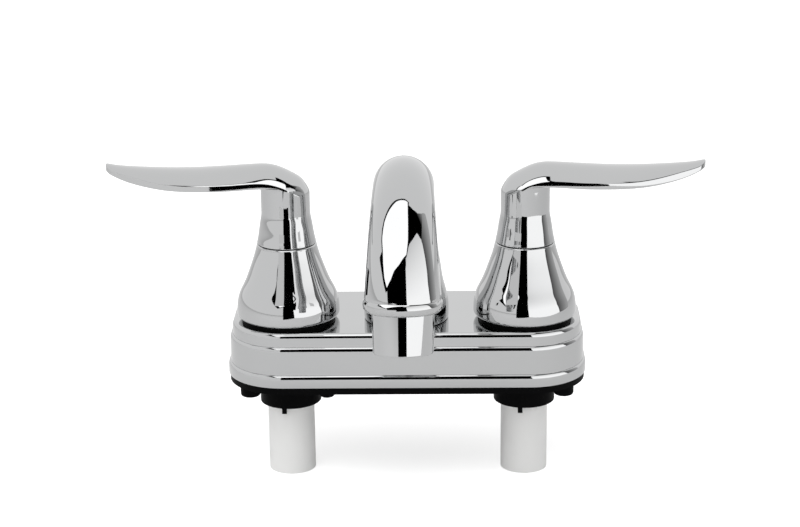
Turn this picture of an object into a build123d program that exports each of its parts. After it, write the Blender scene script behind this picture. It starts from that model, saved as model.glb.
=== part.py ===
from build123d import *
from math import asin, cos, radians, sin, sqrt
import os

# Two-handle lavatory faucet for a deck with holes at standard centres, in millimetres.
# X runs along the row of taps, Y away from the user and Z up.
# The origin lies on the deck, midway between the two inlet shanks.

# Layout
valve_spacing = 101.6
spout_reach = 81.0
spout_swing = 20.0

# Clearances
running_fit = 0.1
thread_fit = 0.05
loose_fit = 0.5
seam_gap = 0.3

# Base plate
plate_thickness = 3.0
plate_inset = 0.6
plate_rim_height = 2.0
plate_rim_width = 1.2
collar_radius = 13.2
collar_depth = 10.9
collar_tab_width = 2.0
collar_tab_depth = 2.5
collar_tab_thickness = 1.5
collar_tab_offset = -2.1
post_radius = 4.3
post_depth = 5.6
post_rounding = 1.2
post_margin = 9.9
post_y = -10.0
peg_radius = 3.3
peg_x = -34.3
peg_y = -11.5

# Screws that hold the plate
screw_radius = 1.5
screw_length = 16.0
screw_head_radius = 2.7
screw_head_height = 2.0
screw_slot_width = 0.9
screw_slot_depth = 1.0
screw_hole_depth = 18.0
cover_post_radius = 3.2

# Base cover
cover_overhang = 26.5
cover_front = 25.3
cover_back = 39.0
cover_corner = 25.0
cover_height = 23.5
cover_wall = 1.8
tier_step = 1.15
tier_rounding = 0.9
lower_tier_height = 5.5
middle_tier_height = 12.2
top_rounding = 1.2

# Waterway with its two shanks
shank_radius = 10.1
shank_length = 42.5
shank_bore = 6.5
shank_shoulder_radius = 10.6
shank_flange_radius = 12.4
shank_flange_height = 3.0
pocket_radius = 12.0
pocket_bore = 10.0
pocket_floor = 17.0
pocket_top = 33.0
port_radius = 2.4
port_offset = 4.2
bridge_radius = 6.5
channel_radius = 2.8
channel_height = 12.6
channel_offset = 2.1
passage_wall = 1.8
socket_radius = 13.0
socket_bottom = 5.8
socket_top = 24.5

# Valve
seal_thickness = 1.5
disc_radius = 8.2
disc_thickness = 3.0
disc_recess = 1.4
cartridge_wall = 1.5
cartridge_flange_radius = 11.9
cartridge_flange_height = 2.0
cartridge_neck_radius = 7.7
cartridge_neck_top = 42.6
stem_radius = 4.5
stem_foot_height = 3.0
stem_dog_height = 1.2
stem_dog_width = 3.0
stem_dog_length = 13.0
stem_top = 77.0
stem_drive_start = 61.0
stem_drive_sides = 12
stem_groove_height = 38.0
o_ring_thickness = 1.2

# Bonnet nut, ring and bell
nut_flange_radius = 17.0
nut_flange_height = 2.4
nut_across_flats = 27.0
nut_height = 11.6
nut_neck_radius = 9.2
nut_neck_height = 5.0
ring_radius = 20.1
ring_thickness = 1.5
bell_height = 32.15
bell_wall = 2.0
bell_tuck = 1.95
bell_widest_radius = 22.05
bell_mouth_radius = 12.7
bell_mouth_slope = 0.24
bell_land_height = 3.6
bell_land_inset = 1.3

# Lever handle
hub_radius = 10.4
hub_mouth_radius = 12.6
hub_shoulder_height = 13.5
hub_mouth_slope = 0.2
hub_skirt_depth = 3.0
hub_skirt_radius = 10.2
socket_clearance = 0.12
lever_reach = 75.5
lever_half_width = 12.5
lever_tip_radius = 4.9
lever_rise = 20.55
lever_block_top = 98.0
lever_block_base = 52.0
blade_root = 4.0
blade_overlap = 1.0
blade_root_share = 0.586
blade_tip_share = 0.925
set_screw_radius = 2.0
set_screw_height = 69.0
set_screw_tip_gap = 0.15
set_screw_length = 5.2
set_screw_key = 1.0
set_screw_key_depth = 2.0

# Spout
foot_radius = 18.2
foot_gap = 0.3
foot_edge_height = 1.6
foot_edge_inset = 0.4
column_top = 54.8
column_top_radius = 14.2
column_top_slope = 0.12
crest_radius = 12.4
outlet_tilt = 9.0
outlet_radius = 15.1
outlet_ring_radius = 15.75
outlet_ring_height = 6.0
outlet_ring_inset = 1.2
outlet_ring_tuck = 1.0
outlet_ring_belly = 2.6
arch_overlap = 2.5
arch_rising_angle = 40.0
arch_falling_angle = 90.0
spout_passage = 9.8
passage_bottom = 38.0
nipple_radius = 9.0
nipple_bore = 5.5
nipple_floor = 9.6
nipple_end = 3.4
stop_lug_width = 3.0
stop_lug_reach = 1.8
stop_lug_root = 1.0
stop_lug_bottom = 21.0
stop_lug_height = 2.4
swivel_seal_low = 8.0
swivel_seal_high = 17.8
clip_thickness = 1.0
clip_depth = 1.1
clip_radius = 11.4
clip_mouth = 6.0
washer_radius = 15.0
washer_thickness = 1.3

# Aerator
shell_length = 16.1
shell_top_radius = 12.3
shell_bottom_radius = 11.95
shell_bore = 10.2
shell_lip_bore = 9.5
shell_lip_height = 1.4
shell_thread_radius = 11.2
shell_thread_height = 5.2
aerator_washer_thickness = 1.5
aerator_washer_bore = 9.3
insert_height = 7.5
insert_hole_radius = 0.85
insert_hole_spacing = 2.6
insert_hole_rings = 3
screen_thickness = 0.6
screen_hole_radius = 0.6
screen_hole_spacing = 1.9
screen_hole_rings = 4

# Heights and places that follow from the sizes above
valve_x = valve_spacing / 2
deck_top = plate_thickness + cover_height
lower_tier_top = plate_thickness + lower_tier_height
middle_tier_top = lower_tier_top + middle_tier_height
cover_length = valve_spacing + 2 * cover_overhang
post_x = cover_length / 2 - post_margin
cover_middle = (cover_back - cover_front) / 2
cover_depth = cover_back + cover_front
shank_bore_top = channel_height - channel_radius - passage_wall
seal_top = pocket_floor + seal_thickness
fixed_disc_top = seal_top + disc_thickness
turning_disc_top = fixed_disc_top + disc_thickness
cartridge_radius = pocket_bore - running_fit
cartridge_bore = cartridge_radius - cartridge_wall
cartridge_flange_top = pocket_top + cartridge_flange_height
stem_foot_top = turning_disc_top + stem_foot_height
nut_top = deck_top + nut_height
bell_bottom = deck_top + ring_thickness
bell_top = bell_bottom + bell_height
hub_bottom = bell_top + seam_gap
hub_shoulder = hub_bottom + hub_shoulder_height
foot_bottom = deck_top + foot_gap
washer_top = deck_top + washer_thickness
spout_hole = nipple_radius + stop_lug_reach + loose_fit
groove_half_height = o_ring_thickness / 2 + thread_fit
post_places = ((-post_x, post_y), (post_x, post_y))
valve_places = ((-valve_x, 0), (valve_x, 0))

# Places along the outlet's tilted axis, measured up from the aerator's mouth
insert_top = shell_lip_height + insert_height
thread_top = shell_length + shell_thread_height
outlet_shoulder = thread_top + aerator_washer_thickness
outlet_ring_top = shell_length + outlet_ring_height
tilt_sine = sin(radians(outlet_tilt))
tilt_cosine = cos(radians(outlet_tilt))
arch_radius = (spout_reach - outlet_ring_top * tilt_sine) / (1 + tilt_cosine)
mouth_height = column_top + arch_radius * tilt_sine - outlet_ring_top * tilt_cosine


# Horizontal sketch plane with its centre at a given place
def level(x, y, height):
    return Plane(origin=(x, y, height), x_dir=(1, 0, 0), z_dir=(0, 0, 1))


# Upright plane through a vertical axis, for a profile drawn as radius and height
def profile_plane(x, y):
    return Plane(origin=(x, y, 0), x_dir=(1, 0, 0), z_dir=(0, -1, 0))


def upright_axis(x, y):
    return Axis((x, y, 0), (0, 0, 1))


# Plane across the outlet's axis, at a height above the aerator's mouth
def outlet_level(height):
    return Plane(
        origin=(0, height * tilt_sine - spout_reach, mouth_height + height * tilt_cosine),
        x_dir=(1, 0, 0),
        z_dir=(0, tilt_sine, tilt_cosine),
    )


# Plane through the outlet's axis, for a profile drawn as radius and height above the mouth
outlet_profile = Plane(
    origin=(0, -spout_reach, mouth_height),
    x_dir=(1, 0, 0),
    z_dir=(0, -tilt_cosine, tilt_sine),
)
outlet_axis = Axis((0, -spout_reach, mouth_height), (0, tilt_sine, tilt_cosine))


# Outline of the cover, moved in by an inset
def base_outline(inset, mode=Mode.ADD):
    RectangleRounded(
        cover_length - 2 * inset,
        cover_depth - 2 * inset,
        cover_corner - inset,
        mode=mode,
    )


def save(part, name):
    part.label = name
    export_step(part, "parts/" + name + ".step")


os.makedirs("parts", exist_ok=True)

# Chromed base cover: three tiers, each stepped in from the one below, hollow underneath
tiers = (
    (plate_thickness, lower_tier_top, 0, tier_rounding),
    (lower_tier_top, middle_tier_top, tier_step, tier_rounding),
    (middle_tier_top, deck_top, 2 * tier_step, top_rounding),
)
with BuildPart() as base_cover:
    for tier_bottom, tier_top, inset, rounding in tiers:
        with BuildSketch(level(0, cover_middle, tier_bottom)):
            base_outline(inset)
        extrude(amount=tier_top - tier_bottom)
        fillet(base_cover.faces().sort_by(Axis.Z)[-1].edges(), rounding)
    for tier_bottom, tier_top, inset, rounding in tiers:
        cavity_bottom = max(plate_thickness, tier_bottom - cover_wall)
        with BuildSketch(level(0, cover_middle, cavity_bottom)):
            base_outline(inset + cover_wall)
        extrude(amount=tier_top - cover_wall - cavity_bottom, mode=Mode.SUBTRACT)
    with BuildSketch(Plane.XY.offset(plate_thickness)):
        with Locations(*post_places):
            Circle(cover_post_radius)
    extrude(amount=cover_height - cover_wall / 2)
    with BuildSketch(Plane.XY.offset(plate_thickness)):
        with Locations(*post_places):
            Circle(screw_radius + thread_fit)
    extrude(amount=screw_hole_depth, mode=Mode.SUBTRACT)
    with BuildSketch(Plane.XY.offset(deck_top)):
        with Locations(*valve_places):
            Circle(pocket_radius + running_fit)
        Circle(spout_hole)
    extrude(amount=-2 * cover_wall, mode=Mode.SUBTRACT)
save(base_cover.part, "base_cover")

# Black moulded plate that closes the cover, with a collar round each shank,
# a tab under each collar, two screw posts and a locating peg
with BuildPart() as base_plate:
    with BuildSketch(level(0, cover_middle, 0)):
        base_outline(plate_inset)
    extrude(amount=plate_thickness)
    with BuildSketch(level(0, cover_middle, plate_thickness)):
        base_outline(cover_wall + running_fit)
        base_outline(cover_wall + running_fit + plate_rim_width, mode=Mode.SUBTRACT)
    extrude(amount=plate_rim_height)
    with BuildSketch(Plane.XY):
        with Locations(*post_places):
            Circle(post_radius)
        with Locations((peg_x, peg_y)):
            Circle(peg_radius)
    extrude(amount=-post_depth)
    fillet(base_plate.faces().sort_by(Axis.Z)[0:3].edges(), post_rounding)
    with BuildSketch(Plane.XY):
        with Locations(*valve_places):
            Circle(collar_radius)
    extrude(amount=-collar_depth)
    with BuildSketch(Plane.XY.offset(-collar_depth)):
        tab_y = -(collar_radius + shank_shoulder_radius + running_fit) / 2
        with Locations(*[(x + collar_tab_offset, tab_y) for x, y in valve_places]):
            Rectangle(collar_tab_width, collar_tab_thickness)
    extrude(amount=-collar_tab_depth)
    with BuildSketch(Plane.XY.offset(plate_thickness)):
        with Locations(*valve_places):
            Circle(shank_shoulder_radius + running_fit)
    extrude(amount=-(plate_thickness + collar_depth), mode=Mode.SUBTRACT)
    with BuildSketch(Plane.XY.offset(plate_thickness)):
        with Locations(*post_places):
            Circle(screw_radius + running_fit)
    extrude(amount=-(plate_thickness + post_depth), mode=Mode.SUBTRACT)
    with BuildSketch(Plane.XY.offset(-post_depth)):
        with Locations(*post_places):
            Circle(screw_head_radius + running_fit)
    extrude(amount=screw_head_height, mode=Mode.SUBTRACT)
save(base_plate.part, "base_plate")

# Two slotted screws that hold the plate to the posts inside the cover
with BuildPart() as plate_screws:
    with BuildSketch(Plane.XY.offset(-post_depth)):
        with Locations(*post_places):
            Circle(screw_head_radius)
    extrude(amount=screw_head_height)
    with BuildSketch(Plane.XY.offset(screw_head_height - post_depth)):
        with Locations(*post_places):
            Circle(screw_radius)
    extrude(amount=screw_length)
    with BuildSketch(Plane.XY.offset(-post_depth)):
        with Locations(*post_places):
            Rectangle(2 * screw_head_radius, screw_slot_width)
    extrude(amount=screw_slot_depth, mode=Mode.SUBTRACT)
save(plate_screws.part, "plate_screws")

# White moulded waterway: two shanks, two valve pockets, a bridge and the spout's socket
with BuildPart() as waterway:
    with BuildSketch(Plane.XY.offset(-shank_length)):
        with Locations(*valve_places):
            Circle(shank_radius)
    extrude(amount=shank_length + pocket_floor)
    with BuildSketch(Plane.XY.offset(-collar_depth)):
        with Locations(*valve_places):
            Circle(shank_shoulder_radius)
    extrude(amount=collar_depth + plate_thickness)
    with BuildSketch(Plane.XY.offset(plate_thickness)):
        with Locations(*valve_places):
            Circle(shank_flange_radius)
    extrude(amount=shank_flange_height)
    with BuildSketch(Plane.XY.offset(plate_thickness)):
        with Locations(*valve_places):
            Circle(pocket_radius)
    extrude(amount=pocket_top - plate_thickness)
    with BuildSketch(Plane.XY.offset(socket_bottom)):
        Circle(socket_radius)
    extrude(amount=socket_top - socket_bottom)
    with BuildSketch(Plane.YZ.offset(-valve_x)):
        with Locations((0, channel_height)):
            Circle(bridge_radius)
    extrude(amount=valve_spacing)
    with BuildSketch(Plane.XY.offset(pocket_top)):
        with Locations(*valve_places):
            Circle(pocket_bore)
    extrude(amount=pocket_floor - pocket_top, mode=Mode.SUBTRACT)
    with BuildSketch(Plane.XY.offset(-shank_length)):
        with Locations(*valve_places):
            Circle(shank_bore)
    extrude(amount=shank_length + shank_bore_top, mode=Mode.SUBTRACT)
    with BuildSketch(Plane.XY.offset(pocket_floor)):
        with Locations(*[(x, -port_offset) for x, y in valve_places]):
            Circle(port_radius)
    extrude(amount=shank_bore_top - pocket_floor - passage_wall, mode=Mode.SUBTRACT)
    with BuildSketch(Plane.XY.offset(pocket_floor)):
        with Locations(*[(x, port_offset) for x, y in valve_places]):
            Circle(port_radius)
    extrude(amount=channel_height - pocket_floor, mode=Mode.SUBTRACT)
    with BuildSketch(Plane.YZ.offset(-valve_x)):
        with Locations((channel_offset, channel_height)):
            Circle(channel_radius)
    extrude(amount=valve_spacing, mode=Mode.SUBTRACT)
    with BuildSketch(Plane.XY.offset(socket_bottom)):
        Circle(nipple_radius + running_fit)
    extrude(amount=socket_top - socket_bottom, mode=Mode.SUBTRACT)
    # Sector that the spout's stop lug sweeps from one end of its swing to the other
    slot_reach = nipple_radius + stop_lug_reach + seam_gap
    slot_half_angle = radians(spout_swing) + asin((stop_lug_width / 2 + seam_gap) / nipple_radius)
    slot_corner_x = slot_reach * sin(slot_half_angle)
    slot_corner_y = slot_reach * cos(slot_half_angle)
    with BuildSketch(Plane.XY.offset(stop_lug_bottom - seam_gap)):
        with BuildLine():
            Line((0, 0), (-slot_corner_x, slot_corner_y))
            ThreePointArc(
                (-slot_corner_x, slot_corner_y),
                (0, slot_reach),
                (slot_corner_x, slot_corner_y),
            )
            Line((slot_corner_x, slot_corner_y), (0, 0))
        make_face()
    extrude(amount=socket_top - stop_lug_bottom + seam_gap, mode=Mode.SUBTRACT)
save(waterway.part, "waterway")


# Stations up the bell's side: share of the height, share of the narrowing to the mouth
bell_stations = ((0.308, 0.128), (0.435, 0.337), (0.659, 0.647), (0.883, 0.904))


# Side of a bell from its rounded foot to its mouth, moved in by a wall
def bell_side(inset):
    tuck_radius = bell_widest_radius - bell_tuck
    tuck_middle = bell_tuck * sqrt(0.5)
    foot = (tuck_radius - inset, bell_bottom)
    belly = (bell_widest_radius - inset, bell_bottom + bell_tuck)
    if inset:
        Line(foot, belly)
    else:
        rounding_middle = (tuck_radius + tuck_middle, bell_bottom + bell_tuck - tuck_middle)
        ThreePointArc(foot, rounding_middle, belly)
    narrowing = bell_widest_radius - bell_mouth_radius
    waist = [
        (bell_widest_radius - narrowed * narrowing - inset, bell_bottom + risen * bell_height)
        for risen, narrowed in bell_stations
    ]
    mouth = (bell_mouth_radius - inset, bell_top)
    Spline(belly, *waist, mouth, tangents=((0, 1), (-bell_mouth_slope, 1)))
    return foot, mouth


def valve_pieces(side, x):
    axis = upright_axis(x, 0)

    # Shaped rubber seal on the pocket's floor, open at both ports
    with BuildPart() as seat_seal:
        with BuildSketch(level(x, 0, pocket_floor)):
            Circle(disc_radius)
            with Locations((0, -port_offset), (0, port_offset)):
                Circle(port_radius, mode=Mode.SUBTRACT)
        extrude(amount=seal_thickness)
    save(seat_seal.part, side + "_seat_seal")

    # Fixed ceramic disc with its two ports
    with BuildPart() as fixed_disc:
        with BuildSketch(level(x, 0, seal_top)):
            Circle(disc_radius)
            with Locations((0, -port_offset), (0, port_offset)):
                Circle(port_radius, mode=Mode.SUBTRACT)
        extrude(amount=disc_thickness)
    save(fixed_disc.part, side + "_fixed_disc")

    # Turning ceramic disc: a pocket underneath joins the ports, a slot on top takes the stem
    with BuildPart() as turning_disc:
        with BuildSketch(level(x, 0, fixed_disc_top)):
            Circle(disc_radius)
        extrude(amount=disc_thickness)
        with BuildSketch(level(x, 0, fixed_disc_top)):
            SlotOverall(2 * (port_offset + port_radius), 2 * port_radius)
        extrude(amount=disc_recess, mode=Mode.SUBTRACT)
        with BuildSketch(level(x, 0, turning_disc_top)):
            Rectangle(2 * disc_radius, stem_dog_width + 2 * running_fit)
        extrude(amount=-(stem_dog_height + running_fit), mode=Mode.SUBTRACT)
    save(turning_disc.part, side + "_turning_disc")

    # Brass cartridge body round the discs, with a flange on the pocket's mouth and a neck
    with BuildPart() as cartridge_body:
        with BuildSketch(profile_plane(x, 0)):
            with BuildLine():
                Polyline(
                    (cartridge_bore, seal_top),
                    (cartridge_radius, seal_top),
                    (cartridge_radius, pocket_top),
                    (cartridge_flange_radius, pocket_top),
                    (cartridge_flange_radius, cartridge_flange_top),
                    (cartridge_neck_radius, cartridge_flange_top),
                    (cartridge_neck_radius, cartridge_neck_top),
                    (stem_radius + running_fit, cartridge_neck_top),
                    (stem_radius + running_fit, stem_foot_top),
                    (cartridge_bore, stem_foot_top),
                    close=True,
                )
            make_face()
        revolve(axis=axis)
    save(cartridge_body.part, side + "_cartridge_body")

    # Brass stem: foot with a dog in the disc's slot, a ring groove and a twelve-sided drive
    stem_groove_radius = stem_radius - o_ring_thickness
    with BuildPart() as stem:
        with BuildSketch(profile_plane(x, 0)):
            with BuildLine():
                Polyline(
                    (0, turning_disc_top),
                    (cartridge_bore - running_fit, turning_disc_top),
                    (cartridge_bore - running_fit, stem_foot_top),
                    (stem_radius, stem_foot_top),
                    (stem_radius, stem_groove_height - groove_half_height),
                    (stem_groove_radius, stem_groove_height - groove_half_height),
                    (stem_groove_radius, stem_groove_height + groove_half_height),
                    (stem_radius, stem_groove_height + groove_half_height),
                    (stem_radius, stem_drive_start),
                    (0, stem_drive_start),
                    close=True,
                )
            make_face()
        revolve(axis=axis)
        with BuildSketch(level(x, 0, stem_drive_start)):
            RegularPolygon(stem_radius, stem_drive_sides)
        extrude(amount=stem_top - stem_drive_start)
        with BuildSketch(level(x, 0, turning_disc_top)):
            Rectangle(stem_dog_length, stem_dog_width)
        extrude(amount=-stem_dog_height)
    save(stem.part, side + "_stem")

    # Rubber ring in the stem's groove
    with BuildPart() as stem_seal:
        with BuildSketch(profile_plane(x, 0)):
            ring_centre = stem_groove_radius + thread_fit + o_ring_thickness / 2
            with Locations((ring_centre, stem_groove_height)):
                Circle(o_ring_thickness / 2)
        revolve(axis=axis)
    save(stem_seal.part, side + "_stem_seal")

    # Brass nut: clamps the cover and the cartridge, and its neck carries the bell
    with BuildPart() as bonnet_nut:
        with BuildSketch(level(x, 0, deck_top)):
            Circle(nut_flange_radius)
        extrude(amount=nut_flange_height)
        with BuildSketch(level(x, 0, deck_top)):
            RegularPolygon(nut_across_flats / 2, 6, major_radius=False)
        extrude(amount=nut_height)
        with BuildSketch(level(x, 0, nut_top)):
            Circle(nut_neck_radius)
        extrude(amount=nut_neck_height)
        with BuildSketch(level(x, 0, deck_top)):
            Circle(pocket_radius + thread_fit)
        extrude(amount=cartridge_flange_top - deck_top, mode=Mode.SUBTRACT)
        with BuildSketch(level(x, 0, deck_top)):
            Circle(cartridge_neck_radius + running_fit)
        extrude(amount=nut_height + nut_neck_height, mode=Mode.SUBTRACT)
    save(bonnet_nut.part, side + "_bonnet_nut")

    # Black rubber ring between the bell and the cover
    with BuildPart() as bell_ring:
        with BuildSketch(level(x, 0, deck_top)):
            Circle(ring_radius)
            Circle(nut_flange_radius + running_fit, mode=Mode.SUBTRACT)
        extrude(amount=ring_thickness)
    save(bell_ring.part, side + "_bell_ring")

    # Chromed bell, hollow, with an inner land that screws on the nut's neck
    with BuildPart() as bell:
        with BuildSketch(profile_plane(x, 0)):
            with BuildLine():
                outer_foot, outer_mouth = bell_side(0)
                inner_foot, inner_mouth = bell_side(bell_wall)
                Line(outer_foot, inner_foot)
                Line(outer_mouth, inner_mouth)
            make_face()
        revolve(axis=axis)
        with BuildSketch(level(x, 0, nut_top)):
            Circle(bell_widest_radius - bell_wall - bell_land_inset)
            Circle(nut_neck_radius + thread_fit, mode=Mode.SUBTRACT)
        extrude(amount=bell_land_height)
    save(bell.part, side + "_bell")


for side, (x, y) in zip(("left", "right"), valve_places):
    valve_pieces(side, x)


# Stations of the lever's crown, from behind the hub's axis to past the tip: shares of the
# reach and of the half width, then the side edge's and the crown's shares of the rise
crown_stations = (
    (-0.139, 0.440, 0.353, 0.431),
    (-0.093, 0.608, 0.460, 0.689),
    (-0.040, 0.792, 0.557, 0.820),
    (0.026, 0.840, 0.645, 0.937),
    (0.093, 0.872, 0.708, 1.000),
    (0.172, 0.912, 0.732, 1.000),
    (0.291, 0.960, 0.718, 0.971),
    (0.450, 1.000, 0.703, 0.937),
    (0.609, 0.960, 0.718, 0.927),
    (0.768, 0.760, 0.796, 0.946),
    (0.874, 0.560, 0.873, 0.971),
    (0.954, 0.352, 0.956, 1.005),
    (1.020, 0.240, 1.024, 1.054),
)

# Stations of the blade's underside: shares of the reach and of the rise
underside_stations = (
    (0.159, 0.606),
    (0.318, 0.582),
    (0.477, 0.577),
    (0.649, 0.602),
    (0.815, 0.684),
    (0.901, 0.762),
)

# Stations of the blade's leaf outline: shares of the reach and of the half width
leaf_stations = ((0.172, 0.912), (0.450, 1.000), (0.609, 0.960), (0.768, 0.760), (0.874, 0.560))

# Space below the crown: an arched section at each station, joined smoothly
with BuildPart() as crown_space:
    for distance, half_width, edge_rise, crown_rise in crown_stations:
        edge = lever_half_width * half_width
        rise = lever_rise * (crown_rise - edge_rise)
        crown_height = hub_shoulder + lever_rise * crown_rise
        arch = (edge ** 2 + rise ** 2) / (2 * rise)
        reach = edge + loose_fit
        side_height = crown_height - arch + sqrt(arch ** 2 - reach ** 2)
        station_x = valve_x + lever_reach * distance
        station = Plane(origin=(station_x, 0, 0), x_dir=(0, 1, 0), z_dir=(1, 0, 0))
        with BuildSketch(station):
            with BuildLine():
                Polyline(
                    (-reach, side_height),
                    (-reach, lever_block_base),
                    (reach, lever_block_base),
                    (reach, side_height),
                )
                ThreePointArc((reach, side_height), (0, crown_height), (-reach, side_height))
            make_face()
    loft()

# Leaf-shaped blade above its hollowed underside, before the crown is cut
with BuildPart() as blade:
    with BuildSketch(profile_plane(valve_x, 0)):
        with BuildLine():
            root = (-blade_root, hub_shoulder + lever_rise * blade_root_share)
            end = (lever_reach + blade_overlap, hub_shoulder + lever_rise * blade_tip_share)
            underside = [
                (lever_reach * distance, hub_shoulder + lever_rise * risen)
                for distance, risen in underside_stations
            ]
            Spline(root, *underside, end)
            Polyline(
                end,
                (end[0], lever_block_top),
                (root[0], lever_block_top),
                root,
            )
        make_face()
    extrude(amount=lever_half_width + blade_overlap, both=True)
    with BuildSketch(level(valve_x, 0, lever_block_base)):
        with BuildLine():
            tip_start = lever_reach - lever_tip_radius
            for turn in (-1, 1):
                Line((0, 0), (0, turn * hub_radius))
                edge_line = [
                    (lever_reach * distance, turn * lever_half_width * half_width)
                    for distance, half_width in leaf_stations
                ]
                Spline((0, turn * hub_radius), *edge_line, (tip_start, turn * lever_tip_radius))
            ThreePointArc(
                (tip_start, -lever_tip_radius),
                (lever_reach, 0),
                (tip_start, lever_tip_radius),
            )
        make_face()
    extrude(amount=lever_block_top - lever_block_base, mode=Mode.INTERSECT)

# Stations up the hub's flared foot: share of its height, share of its narrowing
hub_stations = ((0.226, 0.270), (0.485, 0.520), (0.752, 0.800))

# Right lever handle: a turned hub that sweeps over into the blade, with a skirt inside
# the bell's mouth, a twelve-sided socket for the stem and a tapped hole at the back
with BuildPart() as right_lever_handle:
    with BuildSketch(level(valve_x, 0, hub_shoulder)):
        Circle(hub_radius)
    extrude(amount=lever_block_top - hub_shoulder)
    add(blade.part)
    add(crown_space.part, mode=Mode.INTERSECT)
    with BuildSketch(profile_plane(valve_x, 0)):
        with BuildLine():
            hub_side = [
                (
                    hub_mouth_radius - narrowed * (hub_mouth_radius - hub_radius),
                    hub_bottom + risen * hub_shoulder_height,
                )
                for risen, narrowed in hub_stations
            ]
            Spline(
                (hub_mouth_radius, hub_bottom),
                *hub_side,
                (hub_radius, hub_shoulder),
                tangents=((-hub_mouth_slope, 1), (0, 1)),
            )
            Polyline(
                (hub_radius, hub_shoulder),
                (0, hub_shoulder),
                (0, hub_bottom),
                (hub_mouth_radius, hub_bottom),
            )
        make_face()
    revolve(axis=upright_axis(valve_x, 0))
    with BuildSketch(level(valve_x, 0, hub_bottom)):
        Circle(hub_skirt_radius)
    extrude(amount=-hub_skirt_depth)
    with BuildSketch(level(valve_x, 0, hub_bottom - hub_skirt_depth)):
        Circle(stem_radius + seam_gap)
    extrude(amount=stem_drive_start + seam_gap - hub_bottom + hub_skirt_depth, mode=Mode.SUBTRACT)
    with BuildSketch(level(valve_x, 0, stem_drive_start)):
        RegularPolygon(stem_radius + socket_clearance, stem_drive_sides)
    extrude(amount=stem_top + loose_fit - stem_drive_start, mode=Mode.SUBTRACT)
    with BuildSketch(Plane(origin=(valve_x, 0, set_screw_height), x_dir=(1, 0, 0), z_dir=(0, 1, 0))):
        Circle(set_screw_radius + thread_fit)
    extrude(amount=hub_mouth_radius, mode=Mode.SUBTRACT)

# Hollow set screw with a six-sided key socket, set into the hub from behind
set_screw_start = stem_radius + set_screw_tip_gap
with BuildPart() as right_handle_screw:
    with BuildSketch(
        Plane(origin=(valve_x, set_screw_start, set_screw_height), x_dir=(1, 0, 0), z_dir=(0, 1, 0))
    ):
        Circle(set_screw_radius)
    extrude(amount=set_screw_length)
    with BuildSketch(
        Plane(
            origin=(valve_x, set_screw_start + set_screw_length, set_screw_height),
            x_dir=(1, 0, 0),
            z_dir=(0, 1, 0),
        )
    ):
        RegularPolygon(set_screw_key, 6)
    extrude(amount=-set_screw_key_depth, mode=Mode.SUBTRACT)

# The left handle is the right one's mirror image
with BuildPart() as left_lever_handle:
    mirror(right_lever_handle.part, about=Plane.YZ)
with BuildPart() as left_handle_screw:
    mirror(right_handle_screw.part, about=Plane.YZ)
save(right_lever_handle.part, "right_lever_handle")
save(right_handle_screw.part, "right_handle_screw")
save(left_lever_handle.part, "left_lever_handle")
save(left_handle_screw.part, "left_handle_screw")


# Angle that the arch turns through, from the upright column to the tilted outlet
arch_end = 180 - outlet_tilt


# Radius of the spout's tube at an angle along the arch, from the column to the outlet
def tube_radius(angle):
    rising = max(0, 1 - angle / arch_rising_angle) ** 2
    falling = max(0, (angle - arch_falling_angle) / (arch_end - arch_falling_angle)) ** 1.5
    rising_growth = (column_top_radius - crest_radius) * rising
    falling_growth = (outlet_radius - crest_radius) * falling
    return crest_radius + rising_growth + falling_growth


# Stations up the column: share of its height, share of its narrowing
column_stations = ((0.282, 0.050), (0.604, 0.575), (0.861, 0.850))

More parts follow.
